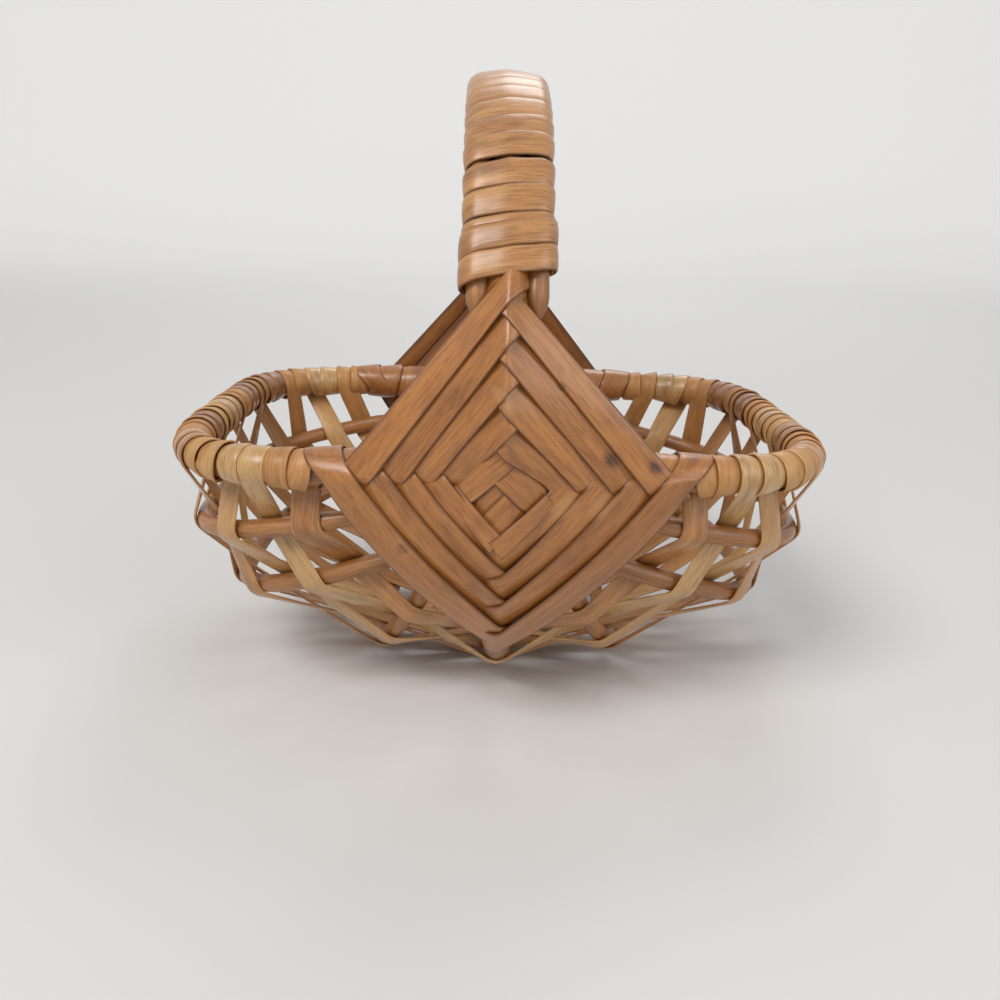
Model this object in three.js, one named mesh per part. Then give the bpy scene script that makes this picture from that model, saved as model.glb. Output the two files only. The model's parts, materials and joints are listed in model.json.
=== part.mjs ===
// A small egg basket of split willow: two hoops lashed across each other with diamond lashings, six ribs,
// and flat skeins woven over and under the ribs from rim to rim. Millimetres, +Z up, front towards -Y.
// The origin is under the middle of the keel, on the table.
import * as THREE from "three";

// Whole basket
const OVERALL_HEIGHT = 146; // table to the top of the wrapped handle
const SEAT_GAP = 0.3; // clearance between pieces that touch

// Rim hoop, measured on its centre line
const RIM_WIDTH = 145;
const RIM_LENGTH = 110;
const RIM_HEIGHT = 61;
const RIM_SQUARENESS = 4.7; // 2 is an ellipse, larger is closer to a rectangle
const RIM_ROD_DIAMETER = 8;

// Handle and keel hoop
const HOOP_ROD_DIAMETER = 6.4;
const KEEL_SQUARENESS = 2.4; // the lower half is flatter than an ellipse, so that the basket stands
const SIDE_ROD_DIAMETER = 4.8;
const HANDLE_FOOT_HEIGHT = 102; // where the handle's wrapping starts, above the table
const SIDE_ROD_SHOWING = 2.5; // length of side rod below the wrapping

// Ribs, from the rim down: how far below the rim their plane lies in the middle, its angle, how far they
// bulge past the rim at the side, how far their ends lie inside it, squareness, and how far from the
// crossing of the hoops the pointed end stops
const RIB_DIAMETER = 4.3;
const RIB_POINT_LENGTH = 7;
const RIB_POINT_SLIMNESS = 0.5; // of the rib's diameter, at the very end
const RIBS = [
  { drop: 5, angle: 11.3, bulge: 1, inset: 3, squareness: 4, start: 30 },
  { drop: 13, angle: 20.2, bulge: -3.3, inset: 6, squareness: 3, start: 25 },
  { drop: 0, angle: 61, bulge: -10, inset: 5, squareness: 2.6, start: 14 },
];

// Flat skeins
const SKEIN_THICKNESS = 0.75;
const SKEIN_CLEARANCE = 0.45; // least space between neighbouring turns
const WEAVER_COUNT = 15; // odd, so that the middle row passes under the keel
const WEAVER_WIDTH = 5.2;
const WEAVER_END_TURN = 545; // degrees that each end is wound round the rim
const SHIFT_FROM = 200; // degrees of that turn between which the end moves over, beside its first turn
const SHIFT_TO = 330;
const BOTTOM_FACET = 10; // degrees, half the turn of the flat in a skein under a rod
const HANDLE_SKEIN_WIDTH = 5.7;
const HANDLE_LOOPS = 22;
const FOOT_BAND_LOOPS = 2; // turns of a second skein over the wrapping at each foot of the handle
const FOOT_BAND_WIDTH = 5.8;
const FOOT_BAND_PITCH = 6.8;
const FOOT_BAND_SLANT = 1.1; // how far such a turn rises at one side of the handle and drops at the other
const FOOT_BAND_HANGING = 1; // how far the lowest turn hangs below the end of the wrapping
const SIDE_ROD_BENDS = [-76, -40, 0, 40, 76]; // degrees round a side rod at which the handle's skein bends

// Where the weaving starts beside a lashing, along each rod from the crossing: rim, three ribs, keel
const WEAVE_START = [40, 38, 31, 38, 52];

// Diamond lashings: rounds, and the first and last crossing on each arm, from the middle of the diamond
const LASHING_ROUNDS = 5;
const LASHING_CLEARANCE = 0.65; // between rounds, measured along an arm
const LASHING_TILT = 12; // degrees, each strand's inner edge stands over the strand before
const LASHING_STEP = 7; // longest part of a straight run, which turns a little from arm to arm
const LASHING_TAIL_TURN = 150; // degrees that each end is wound round its arm
const HOOP_BENDS = [-45, -15, 15, 45]; // degrees round the hoop at which the skein bends over it
const RIM_BENDS = [-15, 15];
const SIDE_ARM = { first: 7, last: 36 };
const TOP_ARM = { first: 4, last: 35 };
const KEEL_ARM = { first: 4, last: 49 };

// Facets
const RIM_SIDES = 10;
const RIB_SIDES = 7;
const RIM_STEPS = 64;
const RIB_STEPS = 24;
const TURN_STEP = 36; // degrees between sections of a skein round a rod
const HOOP_LINE_STEPS = 480;
const HALF_LINE_STEPS = 240;
const TAUT_PASSES = 14; // repeats that settle a straight run of skein between two rods

const RIM_RADIUS = RIM_ROD_DIAMETER / 2;
const HOOP_RADIUS = HOOP_ROD_DIAMETER / 2;
const SIDE_RADIUS = SIDE_ROD_DIAMETER / 2;
const RIB_RADIUS = RIB_DIAMETER / 2;
const SKIN = SEAT_GAP + SKEIN_THICKNESS; // what a skein adds to a rod's radius

const WILLOW_ROD = { color: 0xa9743f, roughness: 0.5, metalness: 0 };
const WILLOW_SKEIN = { color: 0xc08a4e, roughness: 0.42, metalness: 0 };
const WILLOW_LASHING = { color: 0xb57f47, roughness: 0.4, metalness: 0 };

const vec = (x, y, z) => new THREE.Vector3(x, y, z);
const radians = THREE.MathUtils.degToRad;
const UP = vec(0, 0, 1);
const SIDEWAYS = vec(1, 0, 0);
const FRONT = vec(0, -1, 0);

// Distance from the centre of a squared oval to its edge, in the direction of an angle from its long axis.
function ovalRadius(halfAcross, halfLong, squareness, angle) {
  const across = Math.abs(Math.sin(angle)) / halfAcross;
  const along = Math.abs(Math.cos(angle)) / halfLong;
  return (across ** squareness + along ** squareness) ** (-1 / squareness);
}

// The first place in a rising list that a value doesn't pass, and the value beside it in a second list.
function rank(list, value) {
  const i = list.findIndex((entry, k) => k > 0 && entry >= value);
  return i < 0 ? list.length - 1 : i;
}
function interpolate(list, values, value) {
  const i = rank(list, value);
  return THREE.MathUtils.mapLinear(value, list[i - 1], list[i], values[i - 1], values[i]);
}

// The centre line of a bent rod, with places found by the length along it.
class CentreLine {
  constructor(pointAt, steps, closed = false) {
    this.points = Array.from({ length: steps + 1 }, (_, i) => pointAt(i / steps));
    this.closed = closed;
    this.lengths = [0];
    for (let i = 1; i <= steps; i++) {
      this.lengths.push(this.lengths[i - 1] + this.points[i].distanceTo(this.points[i - 1]));
    }
    this.total = this.lengths[steps];
    const turns = this.lengths.map((s, i) => {
      const turning = i > 0 && i < steps;
      return turning ? this.step(i).angleTo(this.step(i + 1)) : 0;
    });
    const wholeTurn = turns.reduce((sum, turn) => sum + turn, 0);
    let turned = 0;
    this.measure = this.lengths.map((s, i) => {
      turned += turns[i];
      return s / this.total + turned / wholeTurn;
    });
  }

  step(i) {
    return this.points[i].clone().sub(this.points[i - 1]);
  }

  // Lengths from one place to another, closer together where the rod bends more.
  stations(from, to, count) {
    const measureAt = (s) => interpolate(this.lengths, this.measure, s);
    const first = measureAt(from);
    const last = measureAt(to);
    return Array.from({ length: count + 1 }, (_, i) =>
      interpolate(this.measure, this.lengths, first + ((last - first) * i) / count),
    );
  }

  at(length) {
    const s = this.closed ? THREE.MathUtils.euclideanModulo(length, this.total) : length;
    const i = rank(this.lengths, s);
    const share = (s - this.lengths[i - 1]) / (this.lengths[i] - this.lengths[i - 1]);
    return this.points[i - 1].clone().lerp(this.points[i], share);
  }

  tangent(length) {
    const reach = 0.5;
    const from = this.closed ? length - reach : Math.max(0, length - reach);
    const to = this.closed ? length + reach : Math.min(this.total, length + reach);
    return this.at(to).sub(this.at(from)).normalize();
  }

  lengthWhere(test) {
    return this.lengths[this.points.findIndex(test)];
  }
}

// Rows of corner points, one row per section, joined into a closed skin. A ring has no end faces.
function skin(rows, ring = false) {
  const sides = rows[0].length;
  const index = [];
  const count = ring ? rows.length : rows.length - 1;
  for (let i = 0; i < count; i++) {
    const a = i * sides;
    const b = ((i + 1) % rows.length) * sides;
    for (let k = 0; k < sides; k++) {
      const next = (k + 1) % sides;
      index.push(a + k, a + next, b + next, a + k, b + next, b + k);
    }
  }
  if (!ring) {
    const end = (rows.length - 1) * sides;
    for (let k = 1; k < sides - 1; k++) {
      index.push(0, k + 1, k, end, end + k, end + k + 1);
    }
  }
  const geometry = new THREE.BufferGeometry().setFromPoints(rows.flat());
  geometry.setIndex(index);
  geometry.computeVertexNormals();
  return geometry;
}

// A round rod along a flat centre line, with pointed ends where it isn't a ring.
function rod(line, planeNormal, radius, sides, steps, ends) {
  const { from = 0, to = line.total, point = 0, ring = false } = ends;
  const rows = [];
  const stations = line.stations(from, to, steps);
  for (const s of ring ? stations.slice(0, -1) : stations) {
    const tangent = line.tangent(s);
    const side = tangent.clone().cross(planeNormal).normalize();
    const over = tangent.clone().cross(side);
    const toEnd = Math.min(s - from, to - s);
    const pointed = THREE.MathUtils.lerp(RIB_POINT_SLIMNESS, 1, toEnd / point);
    const slim = point > 0 ? Math.min(1, pointed) : 1;
    const centre = line.at(s);
    rows.push(
      Array.from({ length: sides }, (_, k) => {
        const angle = (2 * Math.PI * (k + 0.5)) / sides;
        return centre
          .clone()
          .addScaledVector(side, radius * slim * Math.cos(angle))
          .addScaledVector(over, radius * slim * Math.sin(angle));
      }),
    );
  }
  return skin(rows, ring);
}

// A flat skein through sections that each give a centre, the direction across the skein, its face and width.
function skein(sections) {
  const rows = sections.map(({ centre, across, face, width }) => {
    const a = across.clone().multiplyScalar(width / 2);
    const f = face.clone().multiplyScalar(SKEIN_THICKNESS / 2);
    return [
      centre.clone().sub(a).sub(f),
      centre.clone().add(a).sub(f),
      centre.clone().add(a).add(f),
      centre.clone().sub(a).add(f),
    ];
  });
  const run = sections[1].centre.clone().sub(sections[0].centre);
  const turned = sections[0].across.clone().cross(sections[0].face).dot(run) < 0;
  return skin(turned ? rows.map((row) => [...row].reverse()) : rows);
}

// Centre lines. Each half starts at the front crossing and ends at the rear one.
const rimPoint = (angle) => {
  const r = ovalRadius(RIM_WIDTH / 2, RIM_LENGTH / 2, RIM_SQUARENESS, angle);
  return vec(r * Math.sin(angle), -r * Math.cos(angle), RIM_HEIGHT);
};
const rimLine = new CentreLine((t) => rimPoint(2 * Math.PI * t), HOOP_LINE_STEPS, true);

const hoopBottom = (HOOP_RADIUS + SKIN) * Math.cos(radians(BOTTOM_FACET));
const hoopTop = OVERALL_HEIGHT - HOOP_RADIUS - SKIN;
const hoopMiddle = (hoopTop + hoopBottom) / 2;
const hoopHalfHeight = (hoopTop - hoopBottom) / 2;
const crossingY = RIM_LENGTH / 2 + RIM_RADIUS + HOOP_RADIUS + SEAT_GAP;
const crossingDrop = hoopMiddle - RIM_HEIGHT;
const hoopHalfWidth =
  crossingY / (1 - (crossingDrop / hoopHalfHeight) ** KEEL_SQUARENESS) ** (1 / KEEL_SQUARENESS);
const hoopStart = Math.atan2(crossingY, crossingDrop);
const hoopPoint = (angle) => {
  const squareness = Math.cos(angle) > 0 ? KEEL_SQUARENESS : 2;
  const r = ovalRadius(hoopHalfWidth, hoopHalfHeight, squareness, angle);
  return vec(0, r * Math.sin(angle), hoopMiddle - r * Math.cos(angle));
};
// From the front crossing down the keel, up behind and over the handle.
const hoopAt = (t) => hoopPoint(2 * Math.PI * t - hoopStart);
const hoopLine = new CentreLine(hoopAt, HOOP_LINE_STEPS, true);
const keelLine = new CentreLine((t) => hoopPoint(hoopStart * (2 * t - 1)), HALF_LINE_STEPS);

function ribLine(rib, side) {
  const tilt = radians(rib.angle);
  const reach = RIM_WIDTH / 2 + rib.bulge;
  const halfLength = RIM_LENGTH / 2 - rib.inset;
  const middle = RIM_HEIGHT - rib.drop;
  return new CentreLine((t) => {
    const angle = Math.PI * t;
    const r = ovalRadius(reach, halfLength, rib.squareness, angle);
    const out = r * Math.sin(angle);
    return vec(side * out * Math.cos(tilt), -r * Math.cos(angle), middle - out * Math.sin(tilt));
  }, HALF_LINE_STEPS);
}
function ribNormal(rib, side) {
  const tilt = radians(rib.angle);
  return vec(side * Math.sin(tilt), 0, Math.cos(tilt));
}

const basket = new THREE.Group();
function place(name, geometry, finish) {
  const mesh = new THREE.Mesh(geometry, new THREE.MeshStandardMaterial(finish));
  mesh.name = name;
  basket.add(mesh);
  return mesh;
}

// Hoops
const rimShape = rod(rimLine, UP, RIM_RADIUS, RIM_SIDES, RIM_STEPS, { ring: true });
const hoopShape = rod(hoopLine, SIDEWAYS, HOOP_RADIUS, RIM_SIDES, RIM_STEPS, { ring: true });
place("rim_hoop", rimShape, WILLOW_ROD);
place("handle_hoop", hoopShape, WILLOW_ROD);

// Ribs, woven rods and their places from the left rim to the right
const rods = [];
const addRods = (side) =>
  RIBS.map((rib, i) => {
    const line = ribLine(rib, side);
    const from = line.lengthWhere((p) => Math.hypot(p.x, p.z - RIM_HEIGHT) >= rib.start);
    const shape = rod(line, ribNormal(rib, side), RIB_RADIUS, RIB_SIDES, RIB_STEPS, {
      from,
      to: line.total - from,
      point: RIB_POINT_LENGTH,
    });
    place(`rib_${side < 0 ? "left" : "right"}_${i + 1}`, shape, WILLOW_ROD);
    return { line, radius: RIB_RADIUS, start: WEAVE_START[i + 1] };
  });
const rimHalf = (side) => ({
  line: new CentreLine((t) => rimPoint(side * Math.PI * t), HALF_LINE_STEPS),
  radius: RIM_RADIUS,
  start: WEAVE_START[0],
});
rods.push(rimHalf(-1), ...addRods(-1));
rods.push({ line: keelLine, radius: HOOP_RADIUS, start: WEAVE_START[4] });
rods.push(...addRods(1).reverse(), rimHalf(1));

// The direction from a rod's centre in which a taut skein leaves or meets it: square to rod and skein.
function contact(tangent, run, wanted) {
  const v = tangent.clone().cross(run).normalize();
  return v.dot(wanted) < 0 ? v.negate() : v;
}

// Both contact directions of the straight run of skein between two rods.
function tautRun(a, b) {
  let va = a.wanted.clone();
  let vb = b.wanted.clone();
  let run;
  for (let i = 0; i < TAUT_PASSES; i++) {
    const start = a.centre.clone().addScaledVector(va, a.reach);
    run = b.centre.clone().addScaledVector(vb, b.reach).sub(start).normalize();
    va = contact(a.tangent, run, a.wanted);
    vb = contact(b.tangent, run, b.wanted);
  }
  return { leave: va, meet: vb, run };
}

// Where row i crosses rod j, and on which side of it.
const middleRow = (WEAVER_COUNT - 1) / 2;
const keelPlace = (rods.length - 1) / 2;
function crossing(i, j) {
  const { line, radius, start } = rods[j];
  const pitch = (line.total - 2 * start) / WEAVER_COUNT;
  const atRim = j === 0 || j === rods.length - 1;
  const s = start + pitch * (i + 0.5) - (atRim ? pitch / 4 : 0);
  const tangent = line.tangent(s);
  const centre = line.at(s);
  const fromKeel = i - middleRow + j - keelPlace;
  const outside = fromKeel % 2 === 0 ? 1 : -1;
  const outward = centre.clone().sub(vec(0, 0, RIM_HEIGHT));
  outward.addScaledVector(tangent, -outward.dot(tangent)).normalize();
  const wanted = outward.multiplyScalar(outside);
  const reach = radius + SEAT_GAP + SKEIN_THICKNESS / 2;
  return { line, pitch, s, tangent, centre, outside, wanted, reach };
}

// Sections of a skein over a rod, with a flat in the middle of the turn.
function overRod(at, meet, leave) {
  const middle = meet.clone().add(leave).normalize();
  const half = meet.angleTo(leave) / 2;
  const flat = Math.min(radians(BOTTOM_FACET), half / 2);
  const axis = meet.clone().cross(leave).normalize();
  const directions = [
    meet,
    middle.clone().applyAxisAngle(axis, -flat),
    middle.clone().applyAxisAngle(axis, flat),
    leave,
  ];
  return directions.map((v) => ({
    centre: at.centre.clone().addScaledVector(v, at.reach),
    across: at.tangent,
    face: v.clone().multiplyScalar(at.outside),
    width: WEAVER_WIDTH,
  }));
}

// The end of a row: wound round the rim, moving over by one skein where it passes under the rim.
function rimEnd(at, meet, arriving) {
  const spin = Math.sign(at.tangent.clone().cross(meet).dot(arriving));
  const steps = Math.ceil(WEAVER_END_TURN / TURN_STEP);
  return Array.from({ length: steps + 1 }, (_, i) => {
    const angle = (WEAVER_END_TURN * i) / steps;
    const moved = THREE.MathUtils.clamp((angle - SHIFT_FROM) / (SHIFT_TO - SHIFT_FROM), 0, 1);
    const s = at.s + (moved * at.pitch) / 2;
    const tangent = at.line.tangent(s);
    const v = meet.clone().applyAxisAngle(at.tangent, spin * radians(angle));
    v.addScaledVector(tangent, -v.dot(tangent)).normalize();
    const before = s - WEAVER_WIDTH / 2;
    const after = s + WEAVER_WIDTH / 2;
    const bend = at.line.tangent(after).sub(at.line.tangent(before)).divideScalar(WEAVER_WIDTH);
    const room = (at.pitch / 2) * (1 - at.reach * bend.dot(v));
    return {
      centre: at.line.at(s).addScaledVector(v, at.reach),
      across: tangent,
      face: v.clone().multiplyScalar(at.outside),
      width: Math.min(WEAVER_WIDTH, room - SKEIN_CLEARANCE),
    };
  });
}

function weaver(i) {
  const at = rods.map((_, j) => crossing(i, j));
  const runs = at.slice(1).map((b, j) => tautRun(at[j], b));
  const last = rods.length - 1;
  const sections = rimEnd(at[0], runs[0].leave, runs[0].run.clone().negate()).reverse();
  for (let j = 1; j < last; j++) {
    sections.push(...overRod(at[j], runs[j - 1].meet, runs[j].leave));
  }
  sections.push(...rimEnd(at[last], runs[last - 1].meet, runs[last - 1].run));
  return skein(sections);
}
for (let i = 0; i < WEAVER_COUNT; i++) {
  place(`weaver_${String(i + 1).padStart(2, "0")}`, weaver(i), WILLOW_SKEIN);
}

// A lashing's arms, from the front crossing outwards: two on the rim, one up the handle, one down the keel.
const hoopOutward = (p) => p.clone().sub(vec(0, 0, hoopMiddle)).normalize();
const onHoop = { line: hoopLine, radius: HOOP_RADIUS, front: hoopOutward, bends: HOOP_BENDS };
const onRim = { line: rimLine, radius: RIM_RADIUS, front: () => FRONT.clone(), bends: RIM_BENDS };
const ARMS = [
  { ...onHoop, ...TOP_ARM, way: -1 },
  { ...onRim, ...SIDE_ARM, way: -1 },
  { ...onHoop, ...KEEL_ARM, way: 1 },
  { ...onRim, ...SIDE_ARM, way: 1 },
];
const armPitch = (arm) => (arm.last - arm.first) / LASHING_ROUNDS;

// A place on an arm where the lashing crosses its front, a quarter of a round after the crossing before.
function armCrossing(index) {
  const arm = ARMS[index % ARMS.length];
  const width = armPitch(arm) - LASHING_CLEARANCE;
  const s = arm.way * (arm.first + (armPitch(arm) * index) / ARMS.length);
  const tangent = arm.line.tangent(s).multiplyScalar(arm.way);
  const centre = arm.line.at(s);
  const front = arm.front(centre);
  front.addScaledVector(tangent, -front.dot(tangent)).normalize();
  const tiltDrop = (width / 2) * Math.sin(radians(LASHING_TILT));
  const reach = arm.radius + SEAT_GAP + SKEIN_THICKNESS / 2 + tiltDrop;
  return { tangent, centre, front, wanted: front, reach, width, bends: arm.bends };
}

// A section of the lashing on an arm, tilted so that its inner edge stands over the strand before.
function armSection(at, face, width = at.width, tilt = LASHING_TILT) {
  const run = face.clone().cross(at.tangent).normalize();
  return {
    centre: at.centre.clone().addScaledVector(face, at.reach),
    across: at.tangent.clone().applyAxisAngle(run, radians(tilt)),
    face: face.clone().applyAxisAngle(run, radians(tilt)),
    width,
  };
}

// The sense in which a skein that runs along a direction turns round an arm.
const spinOf = (at, along) => Math.sign(at.tangent.clone().cross(at.front).dot(along));
const turned = (at, degrees) => at.front.clone().applyAxisAngle(at.tangent, radians(degrees));

// An end of the lashing, which goes on from the last bend over an arm towards the arm's back.
function tail(at, spin) {
  const lastBend = at.bends.at(-1);
  const steps = Math.ceil((LASHING_TAIL_TURN - lastBend) / TURN_STEP);
  return Array.from({ length: steps }, (_, i) => {
    const share = (i + 1) / steps;
    const turn = THREE.MathUtils.lerp(lastBend, LASHING_TAIL_TURN, share);
    return armSection(at, turned(at, spin * turn), at.width * (1 - share / 2), LASHING_TILT * (1 - share));
  });
}

// From the middle of a section to its edge.
const halfWidth = ({ across, width }) => across.clone().setLength(width / 2);

// The sections of a straight run from one section to another, with the last one.
function runTo(a, b) {
  const parts = Math.ceil(a.centre.distanceTo(b.centre) / LASHING_STEP);
  return Array.from({ length: parts }, (_, i) => {
    const share = (i + 1) / parts;
    const edge = halfWidth(a).lerp(halfWidth(b), share);
    return {
      centre: a.centre.clone().lerp(b.centre, share),
      across: edge.clone().normalize(),
      face: a.face.clone().lerp(b.face, share).normalize(),
      width: 2 * edge.length(),
    };
  });
}

// The whole lashing is one skein that spirals outwards over the arms, each round beside the one before.
function lashing() {
  const count = ARMS.length * LASHING_ROUNDS;
  const at = Array.from({ length: count + 1 }, (_, i) => armCrossing(i));
  const runs = at.slice(1).map((next, i) => tautRun(at[i], next).run);
  const sections = tail(at[0], -spinOf(at[0], runs[0])).reverse();
  at.forEach((place, i) => {
    const spin = spinOf(place, runs[Math.min(i, count - 1)]);
    for (const turn of place.bends) {
      sections.push(armSection(place, turned(place, spin * turn)));
    }
  });
  sections.push(...tail(at[count], spinOf(at[count], runs[count - 1])));
  return sections.flatMap((section, i) => (i > 0 ? runTo(sections[i - 1], section) : [section]));
}

// The least space between parts of a skein that aren't neighbours along it, on points of its two faces.
function leastGap(sections) {
  const points = [];
  let run = 0;
  for (let i = 1; i < sections.length; i++) {
    const [a, b] = [sections[i - 1], sections[i]];
    const length = a.centre.distanceTo(b.centre);
    const parts = Math.max(1, Math.round(length / SKEIN_THICKNESS));
    for (let k = 0; k < parts; k++) {
      const share = k / parts;
      const edge = halfWidth(a).lerp(halfWidth(b), share);
      const rise = a.face.clone().lerp(b.face, share).multiplyScalar(SKEIN_THICKNESS / 2);
      const centre = a.centre.clone().lerp(b.centre, share);
      for (const place of [-1, -0.5, 0, 0.5, 1]) {
        const onMiddle = centre.clone().addScaledVector(edge, place);
        points.push({ run: run + length * share, p: onMiddle.clone().add(rise) });
        points.push({ run: run + length * share, p: onMiddle.sub(rise) });
      }
    }
    run += length;
  }
  const far = 2 * WEAVER_WIDTH;
  let least = Infinity;
  for (let i = 0; i < points.length; i++) {
    for (let k = i + 1; k < points.length; k++) {
      if (points[k].run - points[i].run < far) continue;
      least = Math.min(least, points[i].p.distanceTo(points[k].p));
    }
  }
  return least;
}

const lashingSections = lashing();
place("gods_eye_front", skein(lashingSections), WILLOW_LASHING);
place("gods_eye_rear", skein(lashingSections), WILLOW_LASHING).rotation.z = Math.PI;
console.log("lashing, least gap to itself", leastGap(lashingSections).toFixed(2));

// Handle: two thinner rods beside the hoop, and one skein wound round all three
const sideOffset = HOOP_RADIUS + SIDE_RADIUS + SEAT_GAP;
const handleFrom = hoopLine.lengths.findLastIndex((_, i) => {
  const p = hoopLine.points[i];
  return p.y > 0 && p.z <= HANDLE_FOOT_HEIGHT;
});
const handleStart = hoopLine.lengths[handleFrom];
const handleEnd = hoopLine.total + keelLine.total - handleStart;
for (const [name, side] of [
  ["left", -1],
  ["right", 1],
]) {
  const shape = rod(hoopLine, SIDEWAYS, SIDE_RADIUS, RIB_SIDES, RIB_STEPS, {
    from: handleStart - SIDE_ROD_SHOWING,
    to: handleEnd + SIDE_ROD_SHOWING,
  });
  place(`handle_side_rod_${name}`, shape, WILLOW_ROD).position.x = side * sideOffset;
}

// The bends of one loop round the handle: over the right rod, the hoop, the left rod, and the hoop again.
const bendOver = (radius, x, degrees) => {
  const angle = radians(degrees);
  return { angle, x: x + radius * Math.cos(angle), out: radius * Math.sin(angle) };
};
function handleBends(rise) {
  const sideReach = SIDE_RADIUS + rise;
  const hoopReach = HOOP_RADIUS + rise;
  return [
    ...SIDE_ROD_BENDS.map((degrees) => bendOver(sideReach, sideOffset, degrees)),
    bendOver(hoopReach, 0, 90),
    ...SIDE_ROD_BENDS.map((degrees) => bendOver(sideReach, -sideOffset, 180 + degrees)),
    bendOver(hoopReach, 0, 270),
  ];
}

// A skein wound round the handle from one length along the hoop to another.
function handleTurns({ from, to, loops, width, rise, slant }) {
  const bends = handleBends(rise);
  const count = loops * bends.length;
  return Array.from({ length: count + 1 }, (_, i) => {
    const bend = bends[i % bends.length];
    const s = THREE.MathUtils.lerp(from, to, i / count) - slant * Math.cos(bend.angle);
    const tangent = hoopLine.tangent(s);
    const centre = hoopLine.at(s);
    const outward = tangent.clone().cross(SIDEWAYS);
    const face = outward.clone().multiplyScalar(Math.sin(bend.angle));
    return {
      centre: centre.addScaledVector(SIDEWAYS, bend.x).addScaledVector(outward, bend.out),
      across: tangent,
      face: face.addScaledVector(SIDEWAYS, Math.cos(bend.angle)),
      width,
    };
  });
}
const wrapRise = SEAT_GAP + SKEIN_THICKNESS / 2;
const wrapSections = handleTurns({
  from: handleStart,
  to: handleEnd,
  loops: HANDLE_LOOPS,
  width: HANDLE_SKEIN_WIDTH,
  rise: wrapRise,
  slant: 0,
});
place("handle_wrap", skein(wrapSections), WILLOW_SKEIN);
console.log("handle wrap, least gap to itself", leastGap(wrapSections).toFixed(2));

const bandEnd = handleEnd + FOOT_BAND_HANGING - FOOT_BAND_WIDTH / 2;
const bandSections = handleTurns({
  from: bandEnd - FOOT_BAND_LOOPS * FOOT_BAND_PITCH,
  to: bandEnd,
  loops: FOOT_BAND_LOOPS,
  width: FOOT_BAND_WIDTH,
  rise: wrapRise + SKIN,
  slant: FOOT_BAND_SLANT,
});
place("foot_band_front", skein(bandSections), WILLOW_SKEIN);
place("foot_band_rear", skein(bandSections), WILLOW_SKEIN).rotation.z = Math.PI;
console.log("foot band, least gap to itself", leastGap(bandSections).toFixed(2));

export default basket;
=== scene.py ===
# %% [markdown]
# A small egg basket of split willow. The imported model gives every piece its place. This script gives each
# one the shape and finish of real willow: round rods that are never quite even, and flat skeins that bend
# over them. Everything is worked out in millimetres, as a basket maker measures, and turned into metres
# when a mesh is made.

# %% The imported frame
import json
import math

import bpy
import numpy as np
from mathutils import Matrix, Vector

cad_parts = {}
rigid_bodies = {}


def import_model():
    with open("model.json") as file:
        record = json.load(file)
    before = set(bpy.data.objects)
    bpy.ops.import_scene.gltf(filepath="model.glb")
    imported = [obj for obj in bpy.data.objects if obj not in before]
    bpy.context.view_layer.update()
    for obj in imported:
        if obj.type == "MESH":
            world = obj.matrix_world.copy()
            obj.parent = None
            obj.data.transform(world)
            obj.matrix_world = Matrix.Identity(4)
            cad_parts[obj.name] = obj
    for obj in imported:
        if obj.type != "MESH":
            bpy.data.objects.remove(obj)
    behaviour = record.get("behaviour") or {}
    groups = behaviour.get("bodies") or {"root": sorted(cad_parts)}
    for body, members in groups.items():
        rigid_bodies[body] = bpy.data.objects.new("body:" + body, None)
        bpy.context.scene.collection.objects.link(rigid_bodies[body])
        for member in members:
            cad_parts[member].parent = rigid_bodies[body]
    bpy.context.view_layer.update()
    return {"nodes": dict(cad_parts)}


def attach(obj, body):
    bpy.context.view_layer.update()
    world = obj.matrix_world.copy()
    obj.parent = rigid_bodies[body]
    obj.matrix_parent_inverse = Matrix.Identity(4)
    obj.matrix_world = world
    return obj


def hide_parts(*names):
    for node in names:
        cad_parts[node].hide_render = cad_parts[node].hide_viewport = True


for leftover in list(bpy.data.objects):
    bpy.data.objects.remove(leftover)
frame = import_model()
chance = np.random.default_rng(11)
print("frame with", len(frame["nodes"]), "nodes")

# %% [markdown]
# The rods of the basket are bent along a few plain curves: a squared oval for the rim, a hoop on edge for
# keel and handle, and three squared ovals on each side that hang below the rim. A curve that is measured
# by length lets a skein be laid at so many millimetres from the crossing, which is how the weaving is set
# out on the real basket.

# %% Curves that are measured by length
MM = 0.001


def unit(v):
    return v / np.maximum(np.linalg.norm(v, axis=-1, keepdims=True), 1e-12)


def squared_oval(half_across, half_long, squareness, angle):
    across = np.abs(np.sin(angle)) / half_across
    along = np.abs(np.cos(angle)) / half_long
    return (across**squareness + along**squareness) ** (-1 / squareness)


class BentLine:
    """A smooth line through points, with places found by the length along it."""

    def __init__(self, points, closed=False):
        self.points = np.asarray(points, float)
        steps = np.linalg.norm(np.diff(self.points, axis=0), axis=1)
        self.lengths = np.concatenate([[0], np.cumsum(steps)])
        self.total = self.lengths[-1]
        self.closed = closed

    def at(self, s):
        s = np.asarray(s, float)
        if self.closed:
            s = np.mod(s, self.total)
        return np.stack([np.interp(s, self.lengths, self.points[:, k]) for k in range(3)], -1)

    def tangent(self, s, reach=0.6):
        s = np.asarray(s, float)
        before, after = s - reach, s + reach
        if not self.closed:
            before, after = np.maximum(before, 0), np.minimum(after, self.total)
        return unit(self.at(after) - self.at(before))


# %% The basket's own sizes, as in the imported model
RIM_WIDTH, RIM_LENGTH, RIM_HEIGHT, RIM_SQUARENESS = 145, 110, 61, 4.7
KEEL_SQUARENESS, HANDLE_SQUARENESS = 2.4, 2
RIM_RADIUS, HOOP_RADIUS, SIDE_RADIUS, RIB_RADIUS = 4.0, 3.2, 2.4, 2.15
HEIGHT, SEAT, SKEIN, BOTTOM_FACET = 146, 0.3, 0.75, 10
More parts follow.
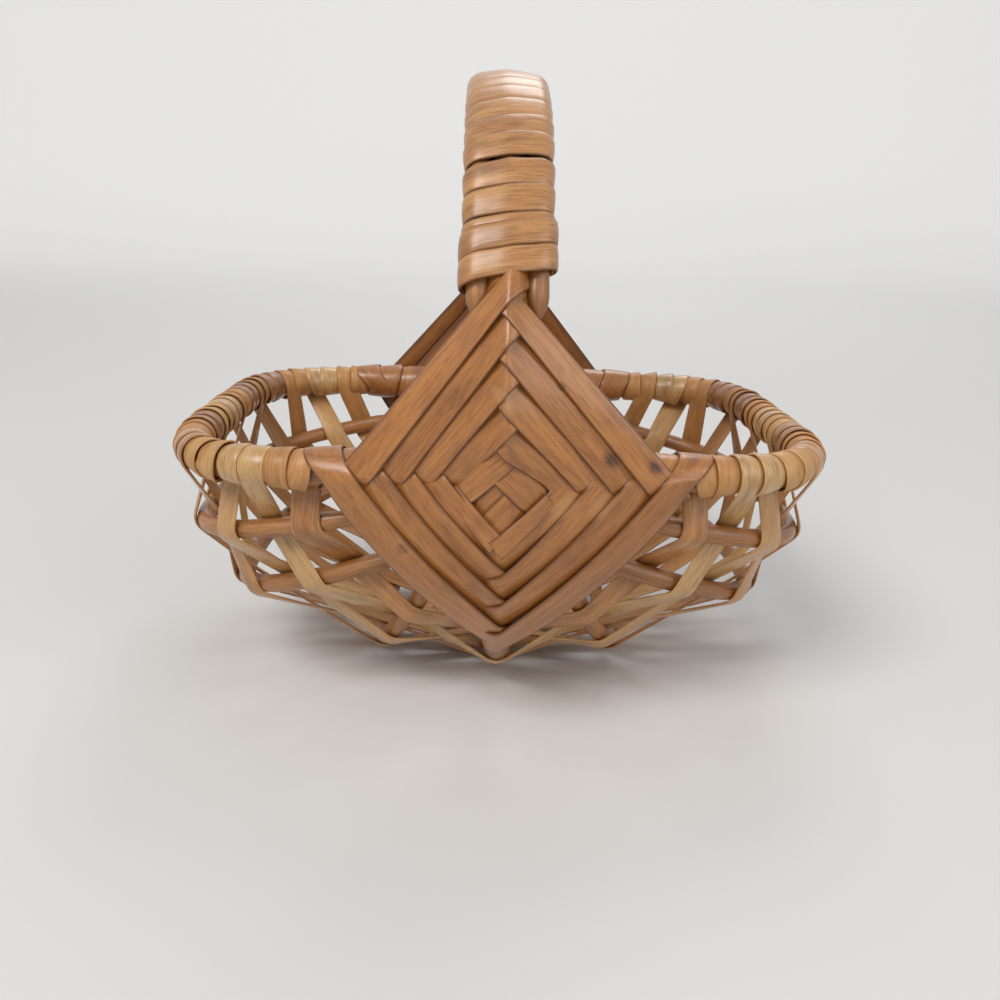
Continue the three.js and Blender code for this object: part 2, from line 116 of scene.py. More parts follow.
# For each rib, its plane's angle in degrees and drop below the rim, its half sizes across and along the
# basket, and how far from the crossing of the hoops it starts.
RIBS = [
    {"angle": 11.3, "drop": 5, "across": 73.5, "along": 52, "squareness": 4, "start": 30},
    {"angle": 20.2, "drop": 13, "across": 69.2, "along": 49, "squareness": 3, "start": 25},
    {"angle": 61, "drop": 0, "across": 62.5, "along": 50, "squareness": 2.6, "start": 14},
]
WEAVERS = 15
# Where the weaving starts beside a lashing, along the rim, the three ribs and the keel.
WEAVE_START = [40, 38, 31, 38, 52]

turn = np.linspace(0, 2 * np.pi, 961)
half_turn = np.linspace(0, np.pi, 481)


def rim_points(angle):
    r = squared_oval(RIM_WIDTH / 2, RIM_LENGTH / 2, RIM_SQUARENESS, angle)
    return np.stack([r * np.sin(angle), -r * np.cos(angle), np.full_like(r, RIM_HEIGHT)], -1)


hoop_low = (HOOP_RADIUS + SEAT + SKEIN) * math.cos(math.radians(BOTTOM_FACET))
hoop_high = HEIGHT - HOOP_RADIUS - SEAT - SKEIN
hoop_middle = (hoop_high + hoop_low) / 2
hoop_half_height = (hoop_high - hoop_low) / 2
crossing_y = RIM_LENGTH / 2 + RIM_RADIUS + HOOP_RADIUS + SEAT
crossing_drop = hoop_middle - RIM_HEIGHT
narrowing = (1 - (crossing_drop / hoop_half_height) ** KEEL_SQUARENESS) ** (1 / KEEL_SQUARENESS)
hoop_half_width = crossing_y / narrowing
hoop_start = math.atan2(crossing_y, crossing_drop)


def hoop_points(angle):
    lower = squared_oval(hoop_half_width, hoop_half_height, KEEL_SQUARENESS, angle)
    upper = squared_oval(hoop_half_width, hoop_half_height, HANDLE_SQUARENESS, angle)
    r = np.where(np.cos(angle) > 0, lower, upper)
    return np.stack([np.zeros_like(r), r * np.sin(angle), hoop_middle - r * np.cos(angle)], -1)


def rib_points(rib, side):
    tilt = math.radians(rib["angle"])
    r = squared_oval(rib["across"], rib["along"], rib["squareness"], half_turn)
    out = r * np.sin(half_turn)
    height = RIM_HEIGHT - rib["drop"] - out * math.sin(tilt)
    return np.stack([side * out * math.cos(tilt), -r * np.cos(half_turn), height], -1)


rim_line = BentLine(rim_points(turn), closed=True)
hoop_line = BentLine(hoop_points(turn - hoop_start), closed=True)
keel_line = BentLine(hoop_points(np.linspace(-hoop_start, hoop_start, 481)))
print("rim", round(rim_line.total), "mm round, hoop", round(hoop_line.total), "mm round")

# %% [markdown]
# Willow is drawn by its grain, which runs along each rod and skein. So every mesh here carries a few
# numbers at its points: how far along the piece a point lies, how far across, how near to an edge,
# whether it is on the inner face, and one tone for the whole piece. The finishes read them, and the grain
# follows each bend.

# %% Meshes with the grain's numbers on them
pieces = {}


def make_mesh(name, rows, numbers, ring=False):
    """Joins rows of points into a closed skin. numbers holds arrays of the rows' shape."""
    count, sides = rows.shape[:2]
    index = np.arange(count * sides).reshape(count, sides)
    following = np.roll(index, -1, 0) if ring else index[1:]
    leading = index if ring else index[:-1]
    quads = np.stack(
        [leading, np.roll(leading, -1, 1), np.roll(following, -1, 1), following], -1
    ).reshape(-1, 4)
    faces = quads.tolist()
    if not ring:
        faces.append(index[0][::-1].tolist())
        faces.append(index[-1].tolist())
    mesh = bpy.data.meshes.new(name)
    mesh.from_pydata((rows.reshape(-1, 3) * MM).tolist(), [], faces)
    for key, values in numbers.items():
        spread = np.broadcast_to(values, (count, sides)).astype(np.float32).ravel()
        mesh.attributes.new(key, "FLOAT", "POINT").data.foreach_set("value", spread)
    mesh.polygons.foreach_set("use_smooth", [True] * len(faces))
    mesh.update()
    piece = bpy.data.objects.new(name, mesh)
    bpy.context.scene.collection.objects.link(piece)
    pieces[name] = piece
    return piece


def wander(count, size, reach):
    """A slow random drift along a piece, in steps of its points."""
    knots = max(4, int(count / reach) + 2)
    drift = chance.normal(0, size, knots)
    places = np.linspace(0, knots - 1, count)
    low = np.clip(places.astype(int), 0, knots - 2)
    share = places - low
    share = share * share * (3 - 2 * share)
    return drift[low] * (1 - share) + drift[low + 1] * share


# %% [markdown]
# The rods are whole willow shoots, bent green: the rim, the hoop of keel and handle, and the ribs, whose
# ends are whittled to points and pushed into the lashings. A round bevel on a curve would do for the
# shape, but a rod that is swept point by point can swell, shrink and carry the grain's numbers.

# %% Rods
ROD_SIDES, ROD_STEP, ROD_UNEVENNESS = 18, 1.2, 0.02
POINT_SLIMNESS = 0.32
RIM_SLIMMER = 0.4
RIB_TUCK, RIB_POINT = 6, 16


def make_rod(name, line, flat_normal, radius, start=0.0, end=None, taper=0.0, ring=False):
    end = line.total if end is None else end
    count = int((end - start) / ROD_STEP)
    s = np.linspace(start, end, count + 1)
    if ring:
        s = s[:-1]
    along = line.tangent(s)
    side = unit(np.cross(along, np.asarray(flat_normal, float)))
    over = np.cross(along, side)
    if taper:
        slim = np.clip(POINT_SLIMNESS + (1 - POINT_SLIMNESS) * np.minimum(s - start, end - s) / taper, 0, 1)
    else:
        slim = np.ones_like(s)
    swell = 1 + wander(len(s), ROD_UNEVENNESS, 12)
    if ring:
        swell = 1 + (swell - 1) * np.sin(np.pi * np.arange(len(s)) / len(s))
    angle = np.linspace(0, 2 * np.pi, ROD_SIDES, endpoint=False)
    thick = (radius * slim * swell)[:, None, None]
    round_part = side[:, None] * np.cos(angle)[None, :, None] + over[:, None] * np.sin(angle)[None, :, None]
    rows = line.at(s)[:, None] + thick * round_part
    numbers = {
        "run": s[:, None],
        "across": (angle * radius)[None, :],
        "edge": 0.0,
        "under": 0.0,
        "tone": chance.uniform(0, 1),
    }
    return make_mesh(name, rows, numbers, ring)


# The rim is wound all round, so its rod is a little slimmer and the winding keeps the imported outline.
make_rod("rim_rod", rim_line, (0, 0, 1), RIM_RADIUS - RIM_SLIMMER, ring=True)
make_rod("hoop_rod", hoop_line, (1, 0, 0), HOOP_RADIUS, ring=True)
rib_lines = {}
for side, word in ((-1, "left"), (1, "right")):
    for number, rib in enumerate(RIBS, 1):
        line = BentLine(rib_points(rib, side))
        rib_lines[side, number] = line
        clear = np.hypot(line.points[:, 0], line.points[:, 2] - RIM_HEIGHT) >= rib["start"] - RIB_TUCK
        start = line.lengths[np.argmax(clear)]
        tilt = math.radians(rib["angle"])
        normal = (side * math.sin(tilt), 0, math.cos(tilt))
        make_rod(f"rib_rod_{word}_{number}", line, normal, RIB_RADIUS, start, line.total - start, RIB_POINT)
print(len(pieces), "rods")

# %% [markdown]
# A skein is a rod split lengthwise and shaved flat. Its outer face keeps a little of the rod's roundness,
# its inner face is flat and paler, and its edges are just broken. The section below is that shape, swept
# along a path. A path is first laid out roughly, as arcs round the rods and straight runs between them,
# and then evened out, because willow is springy and never takes a sharp corner.

# %% Skeins
SECTION = np.array(
    [
        (-1.0, -0.12), (-0.97, 0.20), (-0.84, 0.40), (-0.45, 0.54), (0.0, 0.58), (0.45, 0.54),
        (0.84, 0.40), (0.97, 0.20), (1.0, -0.12), (0.93, -0.44), (0.0, -0.50), (-0.93, -0.44),
    ]
)
EDGE = np.array([1, 1, 0.6, 0, 0, 0, 0.6, 1, 1, 1, 0.2, 1])
UNDER = np.array([0.5, 0, 0, 0, 0, 0, 0, 0, 0.5, 1, 1, 1])
SKEIN_STEP = 0.7


def even_out(values, spread):
    """Rounds off a path's corners with a bell-shaped average along it."""
    reach = int(3 * spread) + 1
    bell = np.exp(-0.5 * (np.arange(-reach, reach + 1) / spread) ** 2)
    bell /= bell.sum()
    padded = np.concatenate([np.repeat(values[:1], reach, 0), values, np.repeat(values[-1:], reach, 0)])
    return np.stack([np.convolve(padded[:, k], bell, "valid") for k in range(values.shape[1])], -1)


def lay_path(centre, face, width, spread):
    """Spaces a rough path evenly, evens it out, and gives its centre, across and face directions."""
    length = np.concatenate([[0], np.cumsum(np.linalg.norm(np.diff(centre, axis=0), axis=1))])
    keep = np.concatenate([[True], np.diff(length) > 1e-6])
    length, centre, face, width = length[keep], centre[keep], face[keep], width[keep]
    s = np.linspace(0, length[-1], int(length[-1] / SKEIN_STEP) + 2)
    spaced = [np.stack([np.interp(s, length, v[:, k]) for k in range(3)], -1) for v in (centre, face)]
    centre, face = even_out(spaced[0], spread), unit(even_out(spaced[1], spread))
    width = even_out(np.interp(s, length, width)[:, None], 3.0)[:, 0]
    along = unit(np.gradient(centre, axis=0))
    face = unit(face - along * np.sum(face * along, 1, keepdims=True))
    return s, centre, np.cross(along, face), face, width


def make_skein(name, centre, face, width, thickness=0.85, spread=1.6, uneven=0.05, twist=3.0):
    s, centre, across, face, width = lay_path(centre, face, width, spread)
    width = width * (1 + wander(len(s), uneven, 25))
    roll = np.radians(wander(len(s), twist, 30))[:, None]
    across, face = across * np.cos(roll) + face * np.sin(roll), face * np.cos(roll) - across * np.sin(roll)
    thick = thickness * (1 + wander(len(s), 0.06, 30))
    rows = (
        centre[:, None]
        + across[:, None] * (width[:, None] / 2 * SECTION[None, :, 0])[..., None]
        + face[:, None] * (thick[:, None] * SECTION[None, :, 1])[..., None]
    )
    numbers = {
        "run": s[:, None] + chance.uniform(0, 900),
        "across": width[:, None] / 2 * SECTION[None, :, 0],
        "edge": EDGE[None, :],
        "under": UNDER[None, :],
        "tone": chance.uniform(0, 1),
    }
    return make_mesh(name, rows, numbers)


# %% [markdown]
# The weavers run from rim to rim, over one rod and under the next, and neighbours alternate. They could
# be drawn as waves over the ribs, but a skein is stiff and runs straight from rod to rod. A taut skein
# touches each rod where it is square to both the rod and its own run, so that direction is found first
# for both ends of every run. Each end is wound round the rim, moves over by half the weavers' spacing
# and is wound on beside its first turn.

# %% Where the weavers cross the rods
SETTLING_ROUNDS = 14


def half_rim(side):
    return BentLine(rim_points(side * half_turn))


woven = [(half_rim(-1), RIM_RADIUS, WEAVE_START[0])]
woven += [(rib_lines[-1, k], RIB_RADIUS, WEAVE_START[k]) for k in (1, 2, 3)]
woven += [(keel_line, HOOP_RADIUS, WEAVE_START[4])]
woven += [(rib_lines[1, k], RIB_RADIUS, WEAVE_START[k]) for k in (3, 2, 1)]
woven += [(half_rim(1), RIM_RADIUS, WEAVE_START[0])]
LAST = len(woven) - 1


def weave_crossing(row, rod):
    line, radius, start = woven[rod]
    pitch = (line.total - 2 * start) / WEAVERS
    s = start + pitch * (row + 0.5) - (pitch / 4 if rod in (0, LAST) else 0)
    tangent, centre = line.tangent(s), line.at(s)
    from_keel = row - (WEAVERS - 1) // 2 + rod - LAST // 2
    outside = 1 if from_keel % 2 == 0 else -1
    outward = centre - (0, 0, RIM_HEIGHT)
    outward = unit(outward - tangent * outward.dot(tangent))
    return {
        "line": line, "pitch": pitch, "s": s, "tangent": tangent, "centre": centre,
        "outside": outside, "wanted": outward * outside, "reach": radius + SEAT + SKEIN / 2,
    }


def touch(tangent, run, wanted):
    v = unit(np.cross(tangent, run))
    return -v if v.dot(wanted) < 0 else v


def taut_run(a, b):
    va, vb = a["wanted"], b["wanted"]
    for _ in range(SETTLING_ROUNDS):
        run = unit(b["centre"] + vb * b["reach"] - a["centre"] - va * a["reach"])
        va, vb = touch(a["tangent"], run, a["wanted"]), touch(b["tangent"], run, b["wanted"])
    return va, vb, run


def turn_about(v, axis, angle):
    angle = np.asarray(angle)[..., None]
    return v * np.cos(angle) + np.cross(axis, v) * np.sin(angle) + axis * axis.dot(v) * (1 - np.cos(angle))


def between(a, b, count):
    """Directions that turn evenly from a to b."""
    angle = math.acos(np.clip(a.dot(b), -1, 1))
    axis = np.cross(a, b)
    if np.linalg.norm(axis) < 1e-6:
        return np.repeat(a[None], count, 0)
    return turn_about(a, unit(axis), np.linspace(0, angle, count))


# %% The weavers
WEAVER_WIDTH, WEAVER_THICKNESS, RIM_WRAP_WIDTH, RIM_WRAP_REACH = 5.8, 0.7, 6.2, 4.15
END_TURN, SHIFT_FROM, SHIFT_TO, WIDER_FROM, RIM_LIP = 640, 200, 330, 30, 0.12
BEND_POINTS = 9


def rim_end(at, meet, arriving):
    spin = np.sign(np.cross(at["tangent"], meet).dot(arriving))
    angle = np.radians(np.arange(0, END_TURN + 1, 5.0))
    moved = np.clip((np.degrees(angle) - SHIFT_FROM) / (SHIFT_TO - SHIFT_FROM), 0, 1)
    s = at["s"] + moved * at["pitch"] / 2
    tangent = at["line"].tangent(s)
    v = turn_about(meet, at["tangent"], spin * angle)
    v = unit(v - tangent * np.sum(v * tangent, 1, keepdims=True))
    width = np.where(np.degrees(angle) < WIDER_FROM, WEAVER_WIDTH, RIM_WRAP_WIDTH)
    face = (v + tangent * RIM_LIP) * at["outside"]
    return at["line"].at(s) + v * RIM_WRAP_REACH, face, width


def make_weaver(row):
    at = [weave_crossing(row, rod) for rod in range(LAST + 1)]
    runs = [taut_run(a, b) for a, b in zip(at, at[1:])]
    first = rim_end(at[0], runs[0][0], -runs[0][2])
    laid = [tuple(part[::-1] for part in first)]
    for rod in range(1, LAST):
        here = at[rod]
        v = between(runs[rod - 1][1], runs[rod][0], BEND_POINTS)
        width = np.full(BEND_POINTS, WEAVER_WIDTH)
        laid.append((here["centre"] + v * here["reach"], v * here["outside"], width))
    laid.append(rim_end(at[LAST], runs[-1][1], runs[-1][2]))
    centre, face, width = (np.concatenate(parts) for parts in zip(*laid))
    return make_skein(f"weaver_strip_{row + 1:02d}", centre, face, width, WEAVER_THICKNESS, uneven=0.07)


for row in range(WEAVERS):
    make_weaver(row)
print(WEAVERS, "weavers")

# %% [markdown]
# The diamond lashing is the piece that takes most skill. One long skein goes round and round the crossing
# of the two hoops. At each arm it passes over the front, once round the back, and over the front again on
# top of itself, and then on to the next arm. So every strand starts on top of the strand before it and
# ends under the strand after it, and each round lies with its inner edge on the round before. Flat bars
# laid in squares would look alike from the front, but only a wound skein has the right order at each arm,
# so the skein itself is followed here. For each arm the list gives where one round ends and the next
# begins, from the middle outwards. Advance is a share of a strand's width: the skein lands that far inside
# its place on an arm and leaves that far outside it. Overlap is how far a strand lies over the one before.

# %% The arms of a lashing
def hoop_front(p):
    return unit(p - np.array([0, 0, hoop_middle]))


def rim_front(p):
    return np.array([0.0, -1.0, 0.0])


# Close to the middle, a skein can't reach the rim behind the hoop: it bridges the step between them.
step_between = 2 * HOOP_RADIUS + SEAT
on_rim = {"line": rim_line, "radius": RIM_RADIUS, "front": rim_front, "bridge": step_between}
on_hoop = {"line": hoop_line, "radius": HOOP_RADIUS, "front": hoop_front, "bridge": 0.0}
ARMS = [
    {**on_rim, "way": 1, "advance": 0.22, "overlap": 1.4, "edges": [3.6, 8.6, 13.5, 20.6, 27.8, 35.2]},
    {**on_hoop, "way": -1, "advance": 0.22, "overlap": 1.4, "edges": [0.8, 9.4, 17.6, 26.4, 34.6, 41]},
    {**on_rim, "way": -1, "advance": 0.22, "overlap": 1.4, "edges": [4.8, 10.7, 16.6, 22.6, 29.5, 36.5]},
    {**on_hoop, "way": 1, "advance": 0.1, "overlap": 2.3, "edges": [5, 12, 18.8, 26, 34, 43.5]},
]
ROUNDS = 5
LAST_CROSSING = (35.2, 41.6)
LASHING_THICKNESS, LASHING_STEP, LASHING_SPREAD = 0.7, 0.6, 1.3
EDGE_RISE, EDGE_RISE_BETWEEN, EDGE_RISE_BEHIND = 1.05, 0.5, 0.4
ARM_NEARNESS = 5
LYING_DOWN, COMING_UP = 2.5, 4.5
BRIDGE_REACH = 6.5
LOWER_BOW, LOWER_WIDENING = 0.07, 1.7
TAIL_FROM, TAIL_TO = 150.0, 230.0
# A lashing's skein is flatter across than others, and this changes the section's heights point by point.
FLATTER = np.array([1, 1.5, 1.12, 0.97, 0.93, 0.97, 1.12, 1.5, 1, 1, 1, 1])


def arm_place(arm, s):
    tangent = arm["line"].tangent(arm["way"] * s) * arm["way"]
    centre = arm["line"].at(arm["way"] * s)
    front = arm["front"](centre)
    return centre, tangent, unit(front - tangent * front.dot(tangent))


def lashing_crossing(arm, inner, outer):
    width = outer - inner + arm["overlap"]
    s = outer - width / 2
    centre, tangent, front = arm_place(arm, s)
    return {
        "arm": arm, "s": s, "half": width / 2, "advance": arm["advance"] * (outer - inner),
        "centre": centre, "tangent": tangent, "front": front,
    }


def lashing_crossings():
    found = []
    for number in range(4, 4 * ROUNDS):
        arm = ARMS[number % 4]
        found.append(lashing_crossing(arm, *arm["edges"][number // 4 : number // 4 + 2]))
    found.append(lashing_crossing(ARMS[0], *LAST_CROSSING))
    return found


def front_slope(here, run, side):
    """How far a skein moves along an arm for each millimetre that it moves across the arm."""
    return run.dot(here["tangent"]) / max(abs(run.dot(side)), 0.35)


def loop_behind(here, arriving, leaving, first=0.0, last=360.0):
    """Once round an arm, from over its front to over its front again, a skein's thickness higher."""
    arm = here["arm"]
    side = np.cross(here["tangent"], here["front"])
    spin = np.sign(side.dot(arriving))
    degrees = np.arange(first, last + 1, 6.0)
    phi = np.radians(degrees)
    back = np.clip((degrees - 110) / 140, 0, 1)
    back = back * back * (3 - 2 * back)
    rise = LASHING_THICKNESS * (1.1 + 0.3 * np.clip((degrees - 180) / 110, 0, 1))
    # The arriving skein lies down as soon as it has crossed the middle of the arm, under the leaving one,
    # which itself comes up slowly from behind, so that the next round can lie over it.
    beside_reach = arm["radius"] + SEAT + LASHING_THICKNESS / 2
    beside_middle = beside_reach * np.sin(phi)
    lying = np.clip(np.where(degrees < 180, beside_middle / LYING_DOWN, -beside_middle / COMING_UP), 0, 1)
    fronting = np.clip(np.cos(phi) * 1.5 - 0.2, 0, 1) * (1 - lying)
    level = arm["radius"] + SEAT + rise + EDGE_RISE * fronting
    # Straight over the front of the arm as seen from the front, then square to it behind.
    coming = front_slope(here, arriving, side) * beside_reach * np.sin(np.minimum(phi, np.pi / 2))
    going = front_slope(here, leaving, side) * beside_reach * np.sin(np.maximum(phi, 1.5 * np.pi))
    shift = (1 - back) * (coming - here["advance"]) + back * (going + here["advance"])
    bridge = arm["bridge"] * math.exp(-here["s"] / BRIDGE_REACH) * np.clip(np.cos(phi) * 1.6 - 0.4, 0, 1)
    places = [arm_place(arm, here["s"] + move) for move in shift]
    centre, tangent, front = (np.stack(parts) for parts in zip(*places))
    beside = np.cross(tangent, front) * spin * np.sin(phi)[:, None]
    ahead = front * np.cos(phi)[:, None]
    centre = centre + ahead * (level + bridge)[:, None] + beside * beside_reach
    return np.concatenate([centre, ahead + beside, tangent * here["half"], fronting[:, None]], 1)


def bowed_run(a, b):
    """The strand between two arms, which bows outwards a little below the rim, over the swelling bowl."""
    share = np.linspace(0, 1, 14)[1:-1, None]
    run = a + (b - a) * share
    outward = (a + b)[:3] / 2 - (0, 0, RIM_HEIGHT)
    outward = unit(outward * (1, 0, 1))
    bow = LOWER_BOW * np.linalg.norm((b - a)[:3]) * max(-outward[2], 0)
    run[:, :3] += outward * bow * 4 * share * (1 - share)
    run[:, 6:9] *= 1 + LOWER_WIDENING * max(-outward[2], 0) * share * (1 - share)
    return run


def make_lashing(name, half_turned):
    found = lashing_crossings()
    runs = []
    for a, b in zip(found, found[1:]):
        reach_a, reach_b = (p["arm"]["radius"] + SEAT + LASHING_THICKNESS / 2 for p in (a, b))
        start = a["centre"] + a["front"] * (reach_a + LASHING_THICKNESS)
        runs.append(unit(b["centre"] + b["front"] * reach_b - start))
    laid = []
    for number, here in enumerate(found):
        arriving, leaving = runs[max(number - 1, 0)], runs[min(number, len(runs) - 1)]
        first = TAIL_FROM if number == 0 else 0.0
        last = TAIL_TO if number == len(runs) else 360.0
        laid.append(loop_behind(here, arriving, leaving, first, last))
    rough = [laid[0]]
    for before, after in zip(laid, laid[1:]):
        rough += [bowed_run(before[-1], after[0]), after]
    rough = np.concatenate(rough)
    length = np.concatenate([[0], np.cumsum(np.linalg.norm(np.diff(rough[:, :3], axis=0), axis=1))])
    s = np.linspace(0, length[-1], int(length[-1] / LASHING_STEP) + 2)
    even = even_out(np.stack([np.interp(s, length, rough[:, k]) for k in range(10)], -1), LASHING_SPREAD)
    centre, face, edge, fronting = even[:, :3], unit(even[:, 3:6]), even[:, 6:9], even[:, 9]
    # The inner edge stands up where the skein faces the front, so that each round covers the edge before.
    beside_arm = np.minimum(np.abs(centre[:, 0]), np.abs(centre[:, 2] - RIM_HEIGHT))
    near_arm = np.exp(-((beside_arm / ARM_NEARNESS) ** 2))
    drop = EDGE_RISE * fronting * (EDGE_RISE_BETWEEN + (1 - EDGE_RISE_BETWEEN) * near_arm)
    drop = drop + EDGE_RISE_BEHIND * (1 - fronting)
    edge = edge * (1 + wander(len(s), 0.012, 40))[:, None] - face * drop[:, None]
    thick = LASHING_THICKNESS * (1 + wander(len(s), 0.04, 40))
    rows = (
        centre[:, None]
        + edge[:, None] * SECTION[None, :, :1]
        + face[:, None] * (thick[:, None] * SECTION[None, :, 1] * FLATTER)[..., None]
    )
    if half_turned:
        rows = rows * (-1, -1, 1)
    strand = np.cumsum(np.concatenate([[0], (np.abs(np.diff(np.sign(fronting - 0.5))) > 0)]))
    tones = chance.uniform(0, 1, strand.max() + 1)
    numbers = {
        "run": s[:, None],
        "across": 0.75 * np.linalg.norm(edge, axis=1)[:, None] * SECTION[None, :, 0],
        "edge": EDGE[None, :],
        "under": UNDER[None, :],
        "tone": even_out(tones[strand][:, None], 2.0),
    }
    return make_mesh(name, rows, numbers)


# The first round and its two starting ends lie flat over the crossing itself, each on the one before:
# where each runs from and to, beside and above the crossing, how wide it is and how high it lies.
MIDDLE_STRANDS = [
    ((-6.2, -5.7), (0.8, 1.4), 4.4, 0.2),
    ((-3.4, -10.4), (3.6, -2.0), 7.0, 0.5),
    ((-0.7, 5.0), (8.4, -4.6), 7.4, 0.9),
    ((-8.9, -2.8), (1.0, 7.3), 5.6, 1.2),
    ((-11.2, -1.7), (-0.6, -12.6), 4.6, 1.85),
    ((-1.9, -13.4), (10.2, -3.0), 4.2, 2.35),
]
STEP_BACK, STEP_EASE = 0.74, 4


def make_middle_strand(name, begin, end, width, level, half_turned):
    share = np.linspace(0, 1, 25)
    x = begin[0] + (end[0] - begin[0]) * share
    z = begin[1] + (end[1] - begin[1]) * share
    # The rim lies behind the hoop, so a strand leans back on its way out to it.
    back = STEP_BACK * (np.hypot(x, STEP_EASE) - STEP_EASE)
    y = -crossing_y - HOOP_RADIUS - SEAT - level + back + 0.05 * np.abs(z)
    centre = np.stack([x, y, RIM_HEIGHT + z], -1)
    face = np.stack([STEP_BACK * x / np.hypot(x, STEP_EASE), np.full_like(x, -1.0), np.zeros_like(x)], -1)
    if half_turned:
        centre, face = centre * (-1, -1, 1), face * (-1, -1, 1)
    width = np.full(len(share), width)
    return make_skein(name, centre, face, width, LASHING_THICKNESS, spread=2.5, uneven=0.02, twist=1.0)


for word, half_turned in (("front", False), ("rear", True)):
    make_lashing(f"lashing_{word}", half_turned)
    for number, strand in enumerate(MIDDLE_STRANDS, 1):
        make_middle_strand(f"lashing_middle_{word}_{number}", *strand, half_turned)
print("two lashings")

# %% [markdown]
# The handle is three rods side by side, the hoop and a thinner one on each side, wound over with one long
# skein. A flattened tube with painted lines would pass from far off. Here the skein itself is wound, so
# that it has edges and gaps: it follows the outline of the three rods together, flat in front and round
# at the sides.

# %% The handle
FOOT_HEIGHT, SIDE_ROD_SHOWING, SIDE_ROD_POINT = 102, 9, 4
HANDLE_LOOPS, HANDLE_WIDTH, HANDLE_THICKNESS = 22, 6.05, 0.75
HANDLE_LIFT, HANDLE_LIP, HANDLE_TUCK = 0.2, 0.07, 3.5
LOOP_POINTS = 72
SIDEWAYS = np.array([1.0, 0, 0])
side_offset = HOOP_RADIUS + SIDE_RADIUS + SEAT
rear = (hoop_line.points[:, 1] > 0) & (hoop_line.points[:, 2] <= FOOT_HEIGHT)
handle_start = hoop_line.lengths[np.flatnonzero(rear)[-1]]
handle_end = hoop_line.total + keel_line.total - handle_start
for side, word in ((-1, "left"), (1, "right")):
    rod = make_rod(
        f"handle_rod_{word}", hoop_line, (1, 0, 0), SIDE_RADIUS,
        handle_start - SIDE_ROD_SHOWING, handle_end + SIDE_ROD_SHOWING, taper=SIDE_ROD_POINT,
    )
    rod.data.transform(Matrix.Translation((side * side_offset * MM, 0, 0)))


def handle_outline(count):
    """The outline of the three rods with a skein round them: places and facings, as x and outwards."""
    angle = np.linspace(0, 2 * np.pi, 1441)
    facing = np.stack([np.cos(angle), np.sin(angle)], -1)
    rods = [(side_offset, SIDE_RADIUS), (0, HOOP_RADIUS), (-side_offset, SIDE_RADIUS)]
    reach = np.stack([x * facing[:, 0] + r for x, r in rods])
    best = np.argmax(reach, 0)
    x = np.array([r[0] for r in rods])[best]
    radius = np.array([r[1] for r in rods])[best] + SEAT + SKEIN / 2
    place = np.stack([x, np.zeros_like(x)], -1) + facing * radius[:, None]
    length = np.concatenate([[0], np.cumsum(np.linalg.norm(np.diff(place, axis=0), axis=1))])
    s = np.linspace(0, length[-1], count, endpoint=False)
    even = [np.stack([np.interp(s, length, v[:, k]) for k in (0, 1)], -1) for v in (place, facing)]
    return even[0], even[1]


loop_place, loop_facing = handle_outline(LOOP_POINTS)


def round_handle(s, number, lift):
    """A skein's middle line and facing, and the handle's run, at lengths along it and points of a loop."""
    at, out = loop_place[number % LOOP_POINTS], loop_facing[number % LOOP_POINTS]
    tangent = hoop_line.tangent(s)
    outward = np.cross(tangent, SIDEWAYS)
    face = SIDEWAYS * out[:, :1] + outward * out[:, 1:]
    centre = hoop_line.at(s) + SIDEWAYS * at[:, :1] + outward * at[:, 1:] + face * lift
    return centre, face, tangent


def make_handle_strip():
    count = HANDLE_LOOPS * LOOP_POINTS + 1
    number = np.arange(count)
    s = np.linspace(handle_start + HANDLE_TUCK, handle_end - HANDLE_TUCK, count)
    s = s + wander(count, 0.35, LOOP_POINTS)
    centre, face, tangent = round_handle(s, number, HANDLE_LIFT)
    face = face + tangent * HANDLE_LIP
    # The left side of each loop is pulled in a little, by its own amount, which opens dark gaps there.
    out = loop_facing[number % LOOP_POINTS]
    slack = chance.uniform(0, 1, HANDLE_LOOPS + 1)[number // LOOP_POINTS]
    pulled = np.clip(0.35 - out[:, 0], 0, 1) * slack
    width = HANDLE_WIDTH * (1 + 0.05 * out[:, 1] - 0.13 * pulled)
    return make_skein("handle_strip", centre, face, width, HANDLE_THICKNESS, uneven=0.04, twist=2.5)


make_handle_strip()
print("handle of", HANDLE_LOOPS, "loops")

# %% [markdown]
# At each foot of the handle a second skein binds the end of the winding down. It is wound twice round the
# same outline, over the loops below it, and slants, so it is made as those loops are, only further out.

# %% The bands that finish the wrapping at each foot
BAND_LOOPS, BAND_PITCH, BAND_WIDTH = 2, 5.2, 5.6
BAND_LIFT, BAND_LEAST_LIFT, BAND_TUCK_POINTS = 0.65, 0.1, 14
BAND_SLANT, BAND_HANGING = 0.8, 0.3


def make_foot_band(name, foot, downwards):
    """Two slanting turns that start and end behind the handle, each lower turn below the one before."""
    count = BAND_LOOPS * LOOP_POINTS + 1
    turned = np.arange(count)
    number = turned + LOOP_POINTS * 3 // 4
    beside = loop_facing[number % LOOP_POINTS][:, 0]
    wound = BAND_PITCH * (turned / LOOP_POINTS - BAND_LOOPS + 0.25)
    lower = BAND_HANGING + wound - BAND_SLANT * (beside + 1)
    tuck = np.clip(np.minimum(turned, turned[::-1]) / BAND_TUCK_POINTS, 0, 1)
    lift = (BAND_LIFT * tuck + BAND_LEAST_LIFT)[:, None]
    centre, face, _ = round_handle(foot + downwards * lower, number, lift)
    return make_skein(name, centre, face, np.full(count, BAND_WIDTH), uneven=0.03, twist=2.0)


make_foot_band("foot_strip_front", handle_end, 1)
make_foot_band("foot_strip_rear", handle_start, -1)
print("two foot bands")

# %% [markdown]
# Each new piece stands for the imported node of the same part, and rides on the one body there is.

